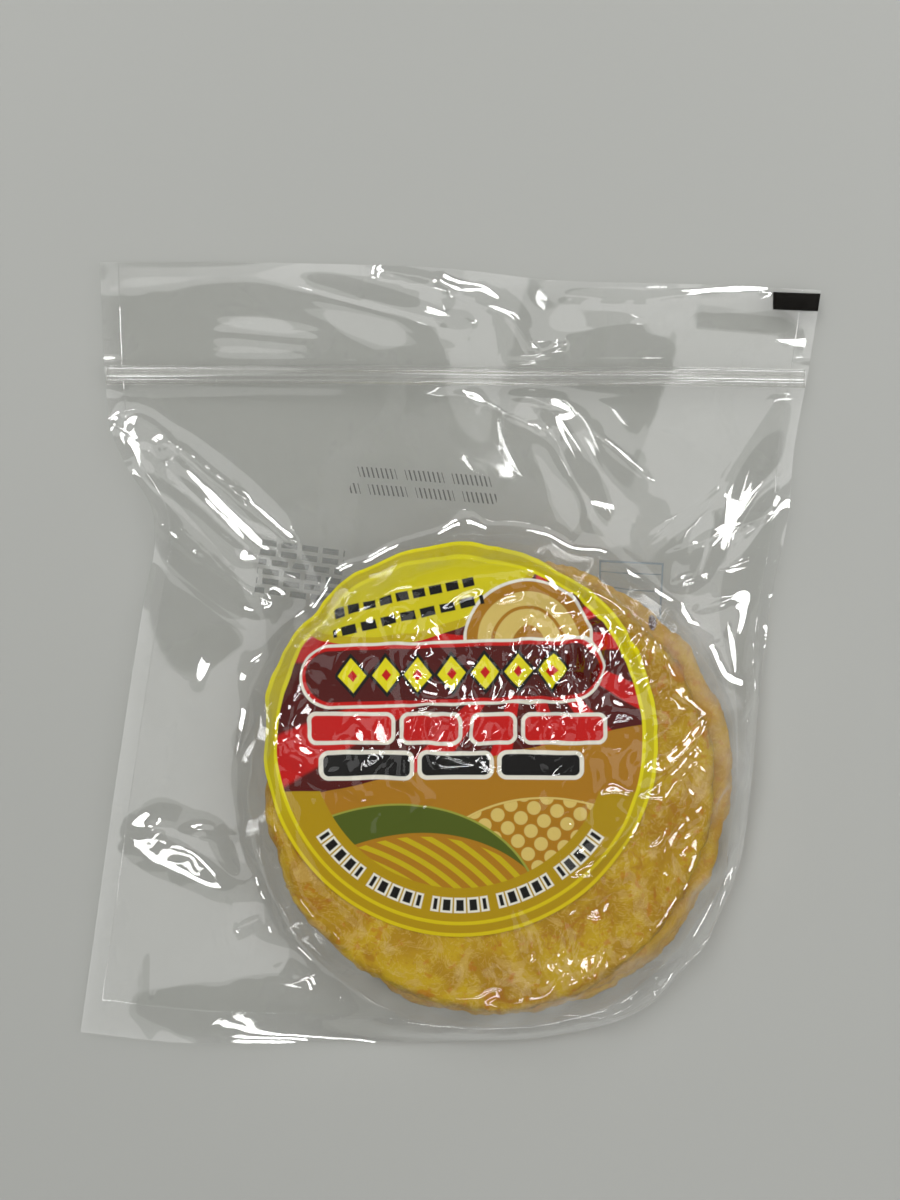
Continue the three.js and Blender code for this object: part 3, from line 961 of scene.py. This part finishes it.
def draw_landscape(n):
    """A red sky with rays, a sun, dotted and furrowed hills, and a green one."""
    sun = (17, 25)
    across, up = n.turned(*sun, 0)
    ray = n.within(n.repeat(n.math("ARCTAN2", up, across), math.pi / 7), 0.09)
    sky = n.bar(10, 26, 130, 58, 12)
    n.lay(sky, DARK_RED)
    n.lay(n.meet(sky, n.times(ray, 14)), RED)
    n.lay(n.disc(-12, 41, 33, 2.1, 14), DEEP_YELLOW)
    n.lay(n.disc(-12, 42, 32, 2.2, 14), BRIGHT_YELLOW)
    n.lay_edged(n.disc(*sun, 0), (16, WHITE), (15.2, GOLD), (12.6, PALE_GOLD), (9, GOLD), (8.2, PALE_GOLD),
                (4, GOLD))
    far_hill = n.disc(24, -46, 37, 1.2, -10)
    n.lay_edged(far_hill, (0.6, PALE_GOLD), (0, GOLD))
    across, up = [n.repeat(value, 4.2) for value in n.turned(0, 0, 38)]
    n.lay(n.meet(far_hill, n.minus(n.far(across, up), 1.75)), PALE_GOLD)
    hill, field = n.disc(-20, -50, 41, 1.25, 14), n.disc(-14, -57, 41, 1.25, 14)
    n.lay_edged(hill, (0.6, PALE_GREEN), (0, GREEN))
    n.lay(n.meet(hill, field), GOLD)
    furrow = n.within(n.repeat(n.disc(-50, -70, 0, 1.3), 3.6), 0.8)
    n.lay(n.meet(hill, n.plus(field, 1.2), furrow), DEEP_YELLOW)


def draw_banner(n):
    """A dark red band with rounded ends and a row of yellow lozenges."""
    cx, cy, turn = -2, 17.0, 2
    width, height, period = 74, 13, 8.4
    n.lay_edged(n.bar(cx, cy, width, height, turn, 6.4), (1.7, WHITE), (0.9, RED), (0, DARK_RED))
    along, up = n.turned(cx, cy, turn)
    row = n.bar(cx, cy, 7 * period - 0.1, height, turn)
    slant = n.times(n.math("ABSOLUTE", up), 0.8)
    gem = n.minus(n.plus(n.math("ABSOLUTE", n.repeat(along, period)), slant), 3.5)
    for amount, tint in ((1.0, BLACK), (0, YELLOW), (-2.3, RED)):
        n.lay(n.meet(n.minus(gem, amount), row), tint)


def draw_bars(n):
    """Two rows of plain bars, where lines of writing go."""
    for tint, height, low, halo, bars in (
        (RED, 6.2, 3.0, 1.0, ((-27.5, 20), (-7.5, 14), (8.5, 10), (26.5, 20))),
        (BLACK, 5.4, -6.3, 1.1, ((-23.5, 22), (-1, 17), (20.5, 20))),
    ):
        row = n.join(*[n.bar(middle, low, width, height, 0, 1.4) for middle, width in bars])
        n.lay_edged(row, (halo, WHITE), (0, tint))


def draw_foot(n, radius):
    """A deep yellow band round the lower half, with a row of ticks."""
    from_row = n.minus(radius, FOOT_ROW)
    n.lay(n.meet(n.within(from_row, 4.4), n.plus(n.y, 13.0)), FOOT_YELLOW)
    arc = n.times(n.math("ARCTAN2", n.x, n.times(n.y, -1.0)), FOOT_ROW)
    tick = n.within(n.repeat(arc, 3.4), 0.95)
    gap = n.minus(1.7, n.math("ABSOLUTE", n.repeat(n.plus(arc, 8.5), 17.0)))
    row = n.meet(tick, gap, n.within(from_row, 1.4), n.within(arc, 42.0))
    n.lay_edged(row, (0.55, WHITE), (0, BLACK))


def draw_head_rows(n):
    """Two slanting rows of dark dashes on the yellow of the sky."""
    for cx, cy, width, period in ((-14.5, 36.2, 37, 4.3), (-13, 31.2, 39, 5.1)):
        dash = n.within(n.repeat(n.turned(cx, cy, 13)[0], period), period * 0.37)
        n.lay(n.meet(n.bar(cx, cy, width, 2.3, 13), dash), BLACK)


def label_material():
    """A round panel of generic print: a landscape in flat colours, a banner, plain bars and a yellow rim."""
    n = Print("round_panel")
    n.tint = GOLD
    draw_landscape(n)
    draw_head_rows(n)
    draw_banner(n)
    draw_bars(n)
    radius = n.disc(0, 0, 0)
    draw_foot(n, radius)
    down = n.ramp(n.y, -4, -34)
    rim = n.minus(RIM_INNER, radius)
    n.lay(rim, n.mix(down, OLIVE, FOOT_YELLOW))
    for line in (RIM_INNER, RIM_OUTER):
        n.lay(n.within(n.minus(radius, line), 0.45), n.mix(down, YELLOW, FOOT_LINE))
    worn = n.mix(n.times(n.noise(900, 2.0), 0.12), n.tint, n.mix(0.5, n.tint, BLACK))
    return n.finish(ink_shader(n, worn, n.minus(1.0, n.times(n.inside(rim), 0.02))))


def plain_ink(name, tint, cover):
    n = Nodes(name)
    return n.finish(ink_shader(n, tint, cover))


def dash_material(name, tint, rows, pitch, dash, gap, cover):
    """Rows of short dashes, as small print looks from the other side of a film."""
    n = Print(name)
    row, up = n.text_row(pitch)
    shifted = n.plus(n.x, n.times(n.math("SINE", n.times(row, 7.3)), dash))
    along = n.within(n.repeat(shifted, dash + gap), dash / 2)
    shape = n.meet(along, n.within(up, pitch * 0.3), n.within(n.y, pitch * rows / 2))
    return n.print_only(shape, 0.1, tint, cover)


def tick_material(name, tint, rows, pitch, cover):
    """Rows of slanted ticks in groups, where a dotted stamp goes."""
    n = Print(name)
    row, up = n.text_row(pitch)
    slanted = n.math("MULTIPLY_ADD", up, 0.35, n.plus(n.x, n.times(row, 3.1)))
    tick = n.meet(n.within(n.repeat(slanted, 1.25), 0.2), n.within(up, pitch * 0.3))
    group = n.within(n.repeat(slanted, 12.5), 5.0)
    return n.print_only(n.meet(tick, group, n.within(n.y, pitch * rows / 2)), 0.08, tint, cover)


def box_material(name, tint, width, height, cover):
    """An empty ruled box."""
    n = Print(name)
    box = n.bar(0, 0, width, height)
    rule = n.meet(n.within(n.repeat(n.y, 4.4), 0.12), box)
    return n.print_only(n.join(n.within(box, 0.22), rule), 0.08, tint, cover)


# ---- The zip ----

# Half of the zip's section: distance from its middle line, and height over its middle, in millimetres.
ZIP_PROFILE = [
    (-2.5, 0.16), (-2.3, 0.34), (-2.05, 0.9), (-1.7, 1.15), (-1.2, 1.15), (-0.85, 0.9), (-0.6, 0.36),
    (0.0, 0.28), (0.5, 0.34), (0.85, 0.95), (1.2, 1.25), (1.8, 1.25), (2.15, 0.95), (2.4, 0.34), (2.6, 0.16),
]


def zip_bar(plan, middle):
    """The zip: two ribs on each side of the film with a groove between, all along the head."""
    row = plan[LOWER_ROWS - 1]
    inset = 0.6
    x = np.linspace(row[0, 0] + inset, row[-1, 0] - inset, 260)
    y = np.interp(x, row[:, 0], row[:, 1])
    z = sample(middle, x, y)
    outline = ZIP_PROFILE + [(s, -h) for s, h in reversed(ZIP_PROFILE)]
    points = np.array([(a, b + s, c + h) for a, b, c in zip(x, y, z) for s, h in outline])
    count = len(outline)
    faces = [*grid_faces(len(x), count, closed=True)]
    faces += [range(count), range(len(points) - 1, len(points) - count - 1, -1)]
    return mesh_object("zip", points, faces, zip_material())


# ---- Building ----

def film_maps(plan):
    """What the films' materials read: distances to the welds, and where a film is loose, rippled or milky."""
    x, y = plan[..., 0], plan[..., 1]
    along, across = [np.arange(count) for count in x.shape]
    from_side = np.broadcast_to(np.minimum(across, across[::-1]), x.shape)
    from_foot = np.broadcast_to(along[:, None], x.shape)
    loose = smooth((reach_from(STACK, x, y) - 54) / 6)
    loose *= smooth(reach_from(LABEL_CENTRE, x, y) - LABEL_RADIUS)
    rippled = np.maximum(spots(x, y, RIPPLED, 0) * (1 - loose), 0.25 * spots(x, y, CRUMPLED, 0) * loose)
    milk = spots(x, y, MILKY, 0)
    return {"seams": np.clip(pairs_of(from_side, from_foot) * CELL / SEAM_SPAN, 0, 1),
            "touch": pairs_of(loose, rippled), "milk": pairs_of(milk, milk)}


front_heights, back_heights = slack_head(*pouch_heights())
plan = sheet_grid()
front = film(plan, front_heights, back_heights, 1)
back = film(plan, front_heights, back_heights, -1)
corn = cake_material()
cakes = [cake(f"corn_cake_{k + 1}", centre, k * CAKE_THICKNESS, corn) for k, centre in enumerate(CAKES)]
front, back = clear_of(front, cakes, 1), clear_of(back, cakes, -1)
maps = film_maps(plan)
wrapping = []
for name, points, flip, cling in (("front", front, False, 0.0), ("back", back, True, 0.05)):
    wrapping.append(mesh_object(name + "_film", points.transpose(1, 2, 0).reshape(-1, 3),
                                grid_faces(*plan.shape[:2], flip=flip),
                                film_material(name + "_clear_film", cling, not flip), **maps))
wrapping.append(zip_bar(plan, (front_heights + back_heights) / 2))
for piece in wrapping:
    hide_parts("bag")

# Places of the print on the back film, in the view.
DATE_ROWS, NOTE_ROWS, RULED_PANEL = spot(424, 487), spot(302, 572), spot(628, 590)
EYE_MARK = (92.9, 94.2)     # the black mark's middle, in millimetres

on_front, on_back = OnFilm(front, plan, 1), OnFilm(back, plan, -1)
round_print("round_panel", on_front, LABEL_CENTRE, LABEL_RADIUS, label_material())
for name, sheet, place, size, turn, material, depth in (
    ("eye_mark", on_front, EYE_MARK, (13.2, 4.8), -0.02, plain_ink("mark_ink", BLACK, 0.97), 0.06),
    ("date_rows", on_back, DATE_ROWS, (39, 9.5), -0.08,
     tick_material("stamp_ink", STAMP_GREY, 2, 4.5, 0.8), INK_DEPTH),
    ("note_rows", on_back, NOTE_ROWS, (22, 17), -0.14,
     dash_material("note_dashes", NOTE_GREY, 6, 2.5, 4.2, 1.3, 0.6), INK_DEPTH),
    ("ruled_panel", on_back, RULED_PANEL, (18, 16), -0.05,
     box_material("ruled_box", BOX_BLUE, 16.5, 14.5, 0.8), INK_DEPTH),
):
    straight_print(name, sheet, place, size, turn, material, depth)

# ---- Stage ----

FLOOR_HALF = 1.6            # half of the floor's width, in metres
FLOOR_HEIGHT = -0.0003


def stage_floor():
    """A pale matt floor under the part."""
    n = Nodes("floor")
    base = n.mix(n.noise(6, 2.0), colour(172, 173, 168), colour(176, 177, 172))
    matt = n.put(n.node("BsdfPrincipled"), {"Base Color": base, "Roughness": 0.6})[0]
    mesh = bpy.data.meshes.new("floor")
    s, z = FLOOR_HALF, FLOOR_HEIGHT
    mesh.from_pydata([(-s, -s, z), (s, -s, z), (s, s, z), (-s, s, z)], [], [(0, 1, 2, 3)])
    mesh.materials.append(n.finish(matt))
    obj = bpy.data.objects.new("floor", mesh)
    bpy.context.collection.objects.link(obj)


def area_light(name, place, size, radiance, aimed=True, glints=True, glow=False):
    """A rectangular soft light of a given brightness, aimed at the object or straight down.

    With glints it shows in reflections, and with glow it lights the object.
    """
    data = bpy.data.lights.new(name, "AREA")
    data.shape = "RECTANGLE"
    data.size, data.size_y = size
    data.energy = radiance * math.pi * size[0] * size[1]
    obj = bpy.data.objects.new(name, data)
    bpy.context.collection.objects.link(obj)
    obj.location = place
    obj.visible_glossy = glints
    obj.visible_diffuse = glow
    if aimed:
        obj.rotation_euler = (-Vector(place)).to_track_quat("-Z", "Y").to_euler()


# Name, place and size in metres, and brightness of each lamp.
GLINT_LAMPS = [
    ("lamp_north_west", (-0.50, 0.78, 0.62), (0.38, 0.24), 18),
    ("lamp_north_east", (0.42, 0.82, 0.60), (0.42, 0.30), 19),
    ("lamp_east", (0.88, 0.28, 0.60), (0.30, 0.44), 18),
    ("lamp_south_east", (0.76, -0.52, 0.60), (0.24, 0.32), 16),
    ("lamp_south", (0.10, -0.93, 0.60), (0.50, 0.07), 17),
    ("lamp_south_high", (0.16, -0.60, 0.90), (0.30, 0.07), 17),
    ("lamp_south_west", (-0.66, -0.64, 0.60), (0.24, 0.10), 15),
    ("lamp_west", (-0.92, 0.12, 0.60), (0.22, 0.36), 18),
    ("key", (-0.45, 0.55, 0.85), (0.26, 0.10), 24),
    ("fill", (0.62, 0.30, 0.80), (0.06, 0.20), 26),
    ("foot", (0.15, -0.75, 0.75), (0.36, 0.08), 20),
    ("lamp_high", (0.10, 0.44, 1.00), (0.08, 0.02), 12),
]
CEILING_PANELS = [
    ("panel_west", (-0.58, -0.20, 1.1), (0.74, 0.66), 0.9),
    ("panel_east", (0.45, 0.12, 1.1), (0.48, 0.80), 1.0),
    ("panel_north", (-0.12, 0.72, 1.1), (0.95, 0.45), 1.1),
]
UNSEEN_LAMPS = [
    ("studio_key", (-0.30, 0.60, 0.95), (0.60, 0.50), 2.2),
    ("studio_fill", (0.70, -0.10, 0.85), (0.50, 0.40), 2.3),
    ("studio_top", (0, 0, 1.3), (1.6, 1.6), 0.62),
]
stage_floor()
for lamp in GLINT_LAMPS:
    area_light(*lamp)
for lamp in CEILING_PANELS:
    area_light(*lamp, aimed=False, glow=True)
for lamp in UNSEEN_LAMPS:
    area_light(*lamp, glints=False, glow=True)

scene = bpy.context.scene
scene.world = bpy.data.worlds.new("room")
scene.world.use_nodes = True
room = scene.world.node_tree.nodes["Background"].inputs
room[0].default_value = (0.80, 0.81, 0.80, 1)
room[1].default_value = 0.30

CAMERA_HEIGHT = 0.451       # in metres
camera_data = bpy.data.cameras.new("camera")
camera_data.lens = 50
camera_data.clip_start = 0.01
camera = bpy.data.objects.new("camera", camera_data)
bpy.context.collection.objects.link(camera)
camera.location = (0, VIEW_Y * MM, CAMERA_HEIGHT)
scene.camera = camera
scene.view_settings.view_transform = "Standard"
scene.view_settings.look = "None"
